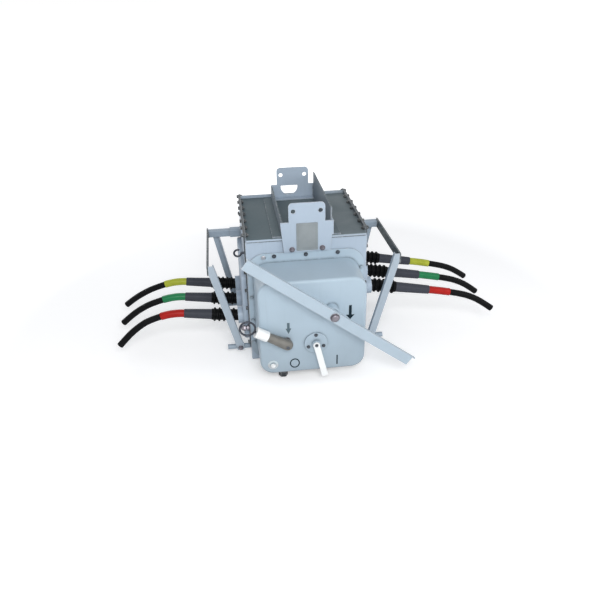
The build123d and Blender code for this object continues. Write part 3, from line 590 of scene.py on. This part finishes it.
def weld(name, stops, radius, look):
    """A weld bead along straight runs from stop to stop, with the ripples of its drops."""
    mesh = bmesh.new()
    for start, stop in zip(stops, stops[1:]):
        run = Vector(stop) - Vector(start)
        count = int(run.length / DROP_LENGTH)
        profile = [(0.0, radius * BEAD_END_SHARE)]
        for step in range(1, count):
            swell = 1.0 + sum(size * sin(step * turn) for size, turn in RIPPLES)
            profile.append((run.length * step / count, radius * swell))
        profile.append((run.length, radius * BEAD_END_SHARE))
        lathe(mesh, facing(start, run), profile, sides=10)
    finished(name, mesh, look)


# Cables: each tail leaves its phase band straight on and droops
CABLE_DIAMETER = 0.028
TAILS = {
    "left_front_tail": [(-0.6115, -0.150, 0.1890), (-0.6646, -0.150, 0.1748), (-0.7136, -0.154, 0.1458),
                        (-0.7576, -0.161, 0.1118), (-0.7956, -0.170, 0.0738)],
    "left_middle_tail": [(-0.6115, 0.0, 0.1890), (-0.6646, 0.0, 0.1748), (-0.7146, 0.003, 0.1488),
                         (-0.7606, 0.007, 0.1168), (-0.8006, 0.010, 0.0808)],
    "left_rear_tail": [(-0.6115, 0.150, 0.1890), (-0.6646, 0.150, 0.1748), (-0.7156, 0.155, 0.1498),
                       (-0.7626, 0.163, 0.1198), (-0.8036, 0.172, 0.0858)],
    "right_front_tail": [(0.6480, -0.150, 0.2009), (0.7015, -0.150, 0.1886), (0.7545, -0.153, 0.1696),
                         (0.8035, -0.159, 0.1426), (0.8475, -0.167, 0.1106)],
    "right_middle_tail": [(0.6480, 0.0, 0.2009), (0.7015, 0.0, 0.1886), (0.7535, 0.002, 0.1676),
                          (0.8015, 0.006, 0.1386), (0.8435, 0.011, 0.1046)],
    "right_rear_tail": [(0.6480, 0.150, 0.2009), (0.7015, 0.150, 0.1886), (0.7545, 0.154, 0.1686),
                        (0.8025, 0.161, 0.1406), (0.8455, 0.169, 0.1076)],
}

# The cut end: one core strand, then a ring of six and a ring of twelve
INSULATION_END = chamfered(root=-0.004, shoulder=0.0002, top=0.0004, radius=0.0118, top_radius=0.0116)
STRAND_RADIUS = 0.0015
STRAND_END = chamfered(root=-0.002, shoulder=0.0008, top=0.0011, radius=STRAND_RADIUS,
                       top_radius=0.8 * STRAND_RADIUS)
STRAND_PITCH = 2.05 * STRAND_RADIUS
STRAND_RINGS = (1, 6, 12)
RING_TURN = 0.2


def cut_end(node, points):
    """The cut face of a cable: pale insulation and a stranded copper core, flush with the jacket."""
    along = facing(points[-1], Vector(points[-1]) - Vector(points[-2]))
    layer = bmesh.new()
    lathe(layer, along, INSULATION_END, sides=32)
    strands = bmesh.new()
    for ring, count in enumerate(STRAND_RINGS):
        reach = ring * STRAND_PITCH
        for step in range(count):
            angle = tau * step / count + RING_TURN * ring
            place = along @ Matrix.Translation((reach * cos(angle), reach * sin(angle), 0))
            lathe(strands, place, STRAND_END, sides=12)
    return [finished(node + "_insulation", layer, "insulation"),
            finished(node + "_strands", strands, "copper")]


def cable(node, points):
    """A tail's smooth line, which replaces its solid, with its cut end."""
    curve = bpy.data.curves.new(node + "_cable", "CURVE")
    curve.dimensions = "3D"
    curve.bevel_depth = CABLE_DIAMETER / 2
    curve.bevel_resolution = 8
    curve.resolution_u = 24
    curve.use_fill_caps = True
    spline = curve.splines.new("NURBS")
    spline.points.add(len(points) - 1)
    for point, place in zip(spline.points, points):
        point.co = (*place, 1)
    spline.order_u = 3
    spline.use_endpoint_u = True
    piece = bpy.data.objects.new(node + "_cable", curve)
    bpy.context.scene.collection.objects.link(piece)
    curve.materials.append(LOOKS["jacket"])
    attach(piece, "tank")
    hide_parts(node)
    strands = cut_end(node, points)


for node, points in TAILS.items():
    cable(node, points)

# Bolts of the side covers: two columns and a top row, with nuts inside the upstands
COLUMN_STEPS = 6
COLUMN_RISE = 0.022
COLUMN_PITCH = 0.082
COLUMN_INSET = 0.012
TOP_ROW_STEPS = 7
TOP_ROW_DROP = 0.008
COLUMN_Z = [COVER_LOW.z + COLUMN_RISE + COLUMN_PITCH * step for step in range(COLUMN_STEPS)]
FRONT_COLUMN_Y = COVER_LOW.y + COLUMN_INSET
REAR_COLUMN_Y = COVER_HIGH.y - COLUMN_INSET
TOP_ROW_PITCH = (REAR_COLUMN_Y - FRONT_COLUMN_Y) / (TOP_ROW_STEPS - 1)
TOP_ROW_Y = [FRONT_COLUMN_Y + TOP_ROW_PITCH * step for step in range(TOP_ROW_STEPS)]
TOP_ROW_Z = COVER_HIGH.z - TOP_ROW_DROP

# In the left cover's front column, the earthing stud and the side hook take the place of a bolt
EARTH_STEP = 1
HOOK_STEP = 5
TAKEN = {"left": (EARTH_STEP, HOOK_STEP), "right": ()}
for side, sign in SIDES.items():
    front_z = [z for step, z in enumerate(COLUMN_Z) if step not in TAKEN[side]]
    places = [(sign * COVER_X, FRONT_COLUMN_Y, z) for z in front_z]
    places += [(sign * COVER_X, REAR_COLUMN_Y, z) for z in COLUMN_Z]
    places += [(sign * COVER_X, y, TOP_ROW_Z) for y in TOP_ROW_Y]
    bolts(side + "_cover_bolts", places, (sign, 0, 0), **COVER_BOLT)
    nuts = [(sign * LID_HIGH.x, y, TOP_ROW_Z) for y in TOP_ROW_Y]
    bolts(side + "_upstand_nuts", nuts, (-sign, 0, 0), **UPSTAND_NUT)

# Earthing stud, low on the left cover: washer, locking nut, shank and domed nut
EARTH_Z = 0.141
DOME_BASE = 0.0225
DOME_RADIUS = 0.0115
DOME_ANGLES = [radians(degrees) for degrees in range(0, 90, 10)]
EARTH_SECTIONS = [
    (chamfered(root=-0.001, shoulder=0.0018, top=0.0024, radius=0.0155, top_radius=0.0149), 40),
    (chamfered(root=0.0020, shoulder=0.0085, top=0.0098, radius=0.0128, top_radius=0.0114), HEXAGON),
    ([(0.0090, 0.0060), (0.0145, 0.0060)], 24),
    (chamfered(root=0.0140, shoulder=0.0215, top=0.0230, radius=0.0132, top_radius=0.0118), HEXAGON),
    ([(DOME_BASE + DOME_RADIUS * sin(angle), DOME_RADIUS * cos(angle)) for angle in DOME_ANGLES], 32),
]
earth_place = (-COVER_X, FRONT_COLUMN_Y, EARTH_Z)
turned("earthing_stud", earth_place, (-1, 0, 0), EARTH_SECTIONS, "nut_steel")

# Front cover: bolts along its flange, with a brighter one near the upper left corner
FLANGE_Y = TANK_LOW.y - FLANGE_THICKNESS
ROW_X = (-0.131, -0.005, 0.123)
TOP_BOLT_DROP = 0.013
BOTTOM_BOLT_RISE = 0.016
SIDE_BOLT_INSET = 0.0105
SIDE_BOLT_Z = (0.095, 0.200, 0.305, 0.410)
CORNER_BOLT_X = -0.173
CORNER_BOLT_DROP = 0.017
top_places = [(x, FLANGE_Y, FRONT_COVER_HIGH.z - TOP_BOLT_DROP) for x in ROW_X]
bolts("flange_top_bolts", top_places, FRONT, **TOP_BOLT)
corner_place = (CORNER_BOLT_X, FLANGE_Y, FRONT_COVER_HIGH.z - CORNER_BOLT_DROP)
bolts("flange_corner_bolt", [corner_place], FRONT, **TOP_BOLT, look="steel", slot="bright_steel")
flange_places = [(x, FLANGE_Y, FRONT_COVER_LOW.z + BOTTOM_BOLT_RISE) for x in ROW_X]
for x in (FRONT_COVER_LOW.x + SIDE_BOLT_INSET, FRONT_COVER_HIGH.x - SIDE_BOLT_INSET):
    flange_places += [(x, FLANGE_Y, z) for z in SIDE_BOLT_Z]
bolts("flange_bolts", flange_places, FRONT, **FLANGE_BOLT)

# Front hanger: the two bolts that hold it to the tank
HANGER_BOLT_X = 0.060
HANGER_BOLT_DROP = 0.042
HANGER_Y = corners("front_hanger")[0].y
hanger_places = [(x, HANGER_Y, TANK_TOP_Z - HANGER_BOLT_DROP) for x in about(0.0, HANGER_BOLT_X)]
bolts("hanger_bolts", hanger_places, FRONT, **HANGER_BOLT)

# Screws of the pointer's flange, each with its angle and its distance from the middle
SCREW_RAYS = ((90, 0.038), (204, 0.033), (336, 0.033))
screw_places = []
for degrees, reach in SCREW_RAYS:
    x = POINTER.x + reach * cos(radians(degrees))
    z = POINTER.z + reach * sin(radians(degrees))
    screw_places.append((x, FACE_Y - POINTER_FLANGE_THICKNESS, z))
bolts("pointer_flange_screws", screw_places, FRONT, **FLANGE_SCREW)

# Stud of the front cover: a white cap on its top and a pale ring round its foot
STUD_X = -0.165
STUD_Z = 0.089
CAP_DISC = chamfered(root=-0.001, shoulder=0.001, top=0.0018, radius=0.0105, top_radius=0.0098)
CAP_KNOB = [(0.0018, 0.0072), (0.004, 0.0070), (0.0062, 0.0058), (0.0075, 0.0036), (0.008, 0.0012)]
RING_DISC = chamfered(root=-0.001, shoulder=0.0008, top=0.0014, radius=0.0205, top_radius=0.0195)
stud_top = (STUD_X, FRONT_COVER_LOW.y, STUD_Z)
turned("stud_cap", stud_top, FRONT, [(CAP_DISC, 24), (CAP_KNOB, 24)], "white")
turned("stud_ring", (STUD_X, FACE_Y, STUD_Z), FRONT, [(RING_DISC, 40)], "pale")

# Washer under the operating lever's nut, the pointer's screw and the end of the lock's pin
LEVER_WASHER = chamfered(root=-0.001, shoulder=0.0020, top=0.0026, radius=0.0180, top_radius=0.0172)
SCREW_WASHER = chamfered(root=-0.001, shoulder=0.0010, top=0.0014, radius=0.0068, top_radius=0.0064)
SCREW_HEAD = chamfered(root=0.0012, shoulder=0.0050, top=0.0058, radius=0.0054, top_radius=0.0047)
PIN_END = [(-0.0005, 0.0070), (0.0006, 0.0068), (0.0010, 0.0058)]
lever_front = (LEVER.x, corners("operating_lever")[0].y, LEVER.z)
turned("lever_washer", lever_front, FRONT, [(LEVER_WASHER, 40)], "nut_steel", "lever")
pointer_front = (POINTER.x, corners("pointer")[0].y, POINTER.z)
pointer_sections = [(SCREW_WASHER, 32), (SCREW_HEAD, HEXAGON)]
turned("pointer_screw", pointer_front, FRONT, pointer_sections, "zinc", "pointer")
pin_front = (LOCK.x, corners("lock_boss")[0].y, LOCK.z)
turned("lock_pin_end", pin_front, FRONT, [(PIN_END, 28)], "zinc")

# Clamp bolts of the guard frames' feet
FOOT_REACH = 0.046
FOOT_X = TANK_HIGH.x + FOOT_REACH
FOOT_Z = 0.037
STRUT_Y = corners("left_rear_strut")[1].y
for side, sign in SIDES.items():
    for end, direction in (("front", -1), ("rear", 1)):
        place = (sign * FOOT_X, direction * STRUT_Y, FOOT_Z)
        bolts(side + "_" + end + "_foot_bolt", [place], (0, direction, 0), **FOOT_BOLT)

# Name plate: a bare face with a raised rim and four rivets
RIVET_INSET = 0.005
RIVET_HEAD = [(-0.0005, 0.0024), (0.0004, 0.0023), (0.0010, 0.0017), (0.0013, 0.0007)]
RIM_INSET_X = 0.0075
RIM_INSET_Z = 0.010
RIM_HALF_WIDTH = 0.0004
RIM_SIDE_HEIGHT = 0.0004
RIM_END_HEIGHT = 0.0003
RIM_DEPTH = 0.0006
RIM_ROOT_Y = PLATE_LOW.y + RIM_DEPTH
rivets = bmesh.new()
for x in (PLATE_LOW.x + RIVET_INSET, PLATE_HIGH.x - RIVET_INSET):
    for z in (PLATE_LOW.z + RIVET_INSET, PLATE_HIGH.z - RIVET_INSET):
        lathe(rivets, facing((x, PLATE_LOW.y, z), FRONT), RIVET_HEAD, sides=16)
finished("plate_rivets", rivets, "plate")
rim_x = (PLATE_LOW.x + RIM_INSET_X, PLATE_HIGH.x - RIM_INSET_X)
rim_z = (PLATE_LOW.z + RIM_INSET_Z, PLATE_HIGH.z - RIM_INSET_Z)
rim = bmesh.new()
for x in rim_x:
    bar(rim, about(x, RIM_HALF_WIDTH), (PLATE_LOW.y - RIM_SIDE_HEIGHT, RIM_ROOT_Y), rim_z)
for z in rim_z:
    bar(rim, rim_x, (PLATE_LOW.y - RIM_END_HEIGHT, RIM_ROOT_Y), about(z, RIM_HALF_WIDTH))
finished("plate_rim", rim, "plate")

# Marks on the front cover: O and I
MARK_HEIGHT = 0.0004
MARK_DEPTH = 0.0006
MARK_Y = (FACE_Y - MARK_HEIGHT, FACE_Y + MARK_DEPTH)
MARK_Z = 0.089
O_X = -0.078
O_SIDES = 48
O_OUTER = 0.020
O_INNER = 0.0155
O_STRETCH = 1.1
I_X = 0.093
I_HALF_WIDTH = 0.0025
I_HALF_HEIGHT = 0.022
marks = bmesh.new()
for step in range(O_SIDES):
    first = tau * step / O_SIDES
    second = tau * (step + 1) / O_SIDES
    sector = ((O_OUTER, first), (O_OUTER, second), (O_INNER, second), (O_INNER, first))
    outline = [(O_X + radius * cos(angle), MARK_Z + O_STRETCH * radius * sin(angle))
               for radius, angle in sector]
    slab(marks, outline, MARK_Y)
bar(marks, about(I_X, I_HALF_WIDTH), MARK_Y, about(MARK_Z, I_HALF_HEIGHT))
finished("cover_marks", marks, "ink")

# Two arrows on the front cover that point down
ARROWS = {
    "swing_arrow": dict(look="ink", x=0.142, top=0.335, tip=0.273, shaft_width=0.011, head_width=0.034,
                        head_length=0.020),
    "lock_arrow": dict(look="faded_ink", x=-0.100, top=0.277, tip=0.228, shaft_width=0.010,
                       head_width=0.022, head_length=0.024),
}


def arrow_down(name, look, x, top, tip, shaft_width, head_width, head_length):
    """A printed arrow from its top to its tip."""
    low = tip + head_length
    left, right = about(x, head_width / 2)
    arrow = bmesh.new()
    bar(arrow, about(x, shaft_width / 2), MARK_Y, (low, top))
    slab(arrow, [(left, low), (x, tip), (right, low)], MARK_Y)
    finished(name, arrow, look)


for name, sizes in ARROWS.items():
    arrow_down(name, **sizes)

# Corner strips: they close the tank between its front wall and the seats of the side covers
STRIP_SETBACK = 0.0003
STRIP_LAP = 0.0002
FRONT_WALL_LAP = 0.0004
STRIP_X = (TANK_HIGH.x - WALL_THICKNESS + STRIP_LAP, TANK_HIGH.x - STRIP_SETBACK)
STRIP_Y = (TANK_LOW.y + WALL_THICKNESS - FRONT_WALL_LAP, COVER_LOW.y + STRIP_LAP)
STRIP_Z = (WALL_THICKNESS - STRIP_LAP, TANK_TOP_Z - WALL_THICKNESS + STRIP_LAP)
STRIP_EDGE = 0.0008
SEAM_INSET = 0.004
SEAM_RADIUS = 0.0018
SEAM_Z = (STRIP_Z[0] + SEAM_INSET, STRIP_Z[1] - SEAM_INSET)
for side, sign in SIDES.items():
    strip = bmesh.new()
    bar(strip, sorted(sign * x for x in STRIP_X), STRIP_Y, STRIP_Z)
    piece = finished(side + "_corner_strip", strip, "tank")
    bevel = piece.modifiers.new("edges", "BEVEL")
    bevel.width = STRIP_EDGE
    bevel.segments = 2
    seam = [(sign * STRIP_X[1], STRIP_Y[0], z) for z in SEAM_Z]
    weld(side + "_corner_weld", seam, SEAM_RADIUS, "tank")

# Dark strip under the lid's front lip: painted shade in the gap below the lip
SHADE_STRIP_INSET = 0.0015
SHADE_STRIP_THICKNESS = 0.0022
SHADE_STRIP_HEIGHT = 0.0038
SHADE_STRIP_LAP = 0.0002
SHADE_STRIP_X = about(0.0, LID_HIGH.x - SHADE_STRIP_INSET)
SHADE_STRIP_Y = (TANK_LOW.y - SHADE_STRIP_THICKNESS, TANK_LOW.y + OVERLAP)
SHADE_STRIP_Z = (LID_LOW.z - SHADE_STRIP_HEIGHT, LID_LOW.z + SHADE_STRIP_LAP)
shade_strip = bmesh.new()
bar(shade_strip, SHADE_STRIP_X, SHADE_STRIP_Y, SHADE_STRIP_Z)
finished("lid_seal", shade_strip, "nut_grey")

# Weld beads of the guard frames: round the arm's socket, and inside the rail
BEAD_RADIUS = 0.0026
SMALL_BEAD_RADIUS = 0.0024
BEAD_STAND_OFF = 0.0008
SOCKET_WELD_X = COVER_X + BEAD_STAND_OFF
RAIL_WELD_X = corners("right_rail")[0].x - OVERLAP
RAIL_WELD_Y = 0.178
RAIL_WELD_Z = (0.396, 0.426)
SOCKET_LOW, SOCKET_HIGH = corners("right_rear_arm")
SOCKET_CORNERS = [(SOCKET_LOW.y, SOCKET_LOW.z), (SOCKET_HIGH.y, SOCKET_LOW.z),
                  (SOCKET_HIGH.y, SOCKET_HIGH.z), (SOCKET_LOW.y, SOCKET_HIGH.z)]
for side, sign in SIDES.items():
    round_socket = [(sign * SOCKET_WELD_X, y, z) for y, z in SOCKET_CORNERS + SOCKET_CORNERS[:1]]
    weld(side + "_socket_weld", round_socket, BEAD_RADIUS, "frame")
    up_rail = [(sign * RAIL_WELD_X, RAIL_WELD_Y, z) for z in RAIL_WELD_Z]
    weld(side + "_rail_weld", up_rail, SMALL_BEAD_RADIUS, "rail")

# Weld beads of the hangers' webs
WEB_WELD_X = corners("right_hanger_web")[0].x - OVERLAP
FRONT_WEB_WELD = [(WEB_WELD_X, -0.2535, 0.566), (WEB_WELD_X, -0.2595, 0.618)]
REAR_WEB_WELD_Y = 0.1975
REAR_WEB_WELD_Z = (0.560, 0.612)
weld("hanger_weld", FRONT_WEB_WELD, BEAD_RADIUS, "hanger")
for side, sign in SIDES.items():
    up_web = [(sign * WEB_WELD_X, REAR_WEB_WELD_Y, z) for z in REAR_WEB_WELD_Z]
    weld(side + "_web_weld", up_web, SMALL_BEAD_RADIUS, "web")

# Floor, background and light
SKY = (0.38, 0.39, 0.41)
BACKGROUND_WHITE = (1, 1, 1)
FLOOR_HALF_WIDTH = 30
FLOOR_DROP = 0.0005
FLOOR_LIFT = (0.30, 1.0)
FLOOR_LIFT_REACH = (1.3, 2.6)
LAMP_TARGET = (0, -0.25, 0.35)
LAMPS = {
    "key": dict(place=(-0.1, -3.2, 2.3), size=(1.6, 1.4), power=82),
    "fill": dict(place=(2.8, -1.8, 1.5), size=(1.6, 1.6), power=23),
    "rear": dict(place=(-2.0, 3.0, 1.8), size=(2.2, 1.8), power=40),
}


def seen_directly(tree):
    """1 for camera, mirror and see-through rays, and 0 for those that carry light."""
    path = tree.nodes.new("ShaderNodeLightPath")
    total = path.outputs["Is Camera Ray"]
    for name in ("Is Glossy Ray", "Is Transmission Ray"):
        total = worked_out(tree, "MAXIMUM", total, path.outputs[name])
    return total


def floor_material(name, colour):
    """A pale floor that keeps shadows; seen directly it is lifted to white, and more so further out."""
    material, tree, shader = new_material(name)
    shader.inputs["Base Color"].default_value = (*colour, 1)
    shader.inputs["Roughness"].default_value = 0.9
    shader.inputs["Specular IOR Level"].default_value = 0.0
    shader.inputs["Emission Color"].default_value = (*BACKGROUND_WHITE, 1)
    place = tree.nodes.new("ShaderNodeTexCoord")
    reach = tree.nodes.new("ShaderNodeVectorMath")
    reach.operation = "LENGTH"
    tree.links.new(place.outputs["Object"], reach.inputs[0])
    lift = spread(tree, reach.outputs["Value"], FLOOR_LIFT_REACH, FLOOR_LIFT)
    strength = worked_out(tree, "MULTIPLY", seen_directly(tree), lift)
    tree.links.new(strength, shader.inputs["Emission Strength"])
    return material


def softbox(name, place, size, power):
    """A soft lamp that looks at the object's front."""
    data = bpy.data.lights.new(name, "AREA")
    data.shape = "RECTANGLE"
    data.size, data.size_y = size
    data.energy = power
    lamp = bpy.data.objects.new(name, data)
    bpy.context.scene.collection.objects.link(lamp)
    lamp.location = place
    lamp.rotation_euler = (Vector(LAMP_TARGET) - Vector(place)).to_track_quat("-Z", "Y").to_euler()


near, far = about(0, FLOOR_HALF_WIDTH)
floor_corners = [(near, near, 0), (far, near, 0), (far, far, 0), (near, far, 0)]
floor_mesh = bpy.data.meshes.new("floor")
floor_mesh.from_pydata(floor_corners, [], [range(len(floor_corners))])
floor = bpy.data.objects.new("floor", floor_mesh)
bpy.context.scene.collection.objects.link(floor)
floor_mesh.materials.append(floor_material("floor_white", FLOOR_GREY))
floor.location.z = -FLOOR_DROP

world = bpy.data.worlds.new("studio")
bpy.context.scene.world = world
world.use_nodes = True
background = world.node_tree.nodes["Background"]
sky = mixed(world.node_tree, seen_directly(world.node_tree), SKY, BACKGROUND_WHITE)
world.node_tree.links.new(sky, background.inputs["Color"])
background.inputs["Strength"].default_value = 1.0
for name, lamp in LAMPS.items():
    softbox(name, **lamp)

bpy.context.scene.view_settings.view_transform = "Standard"
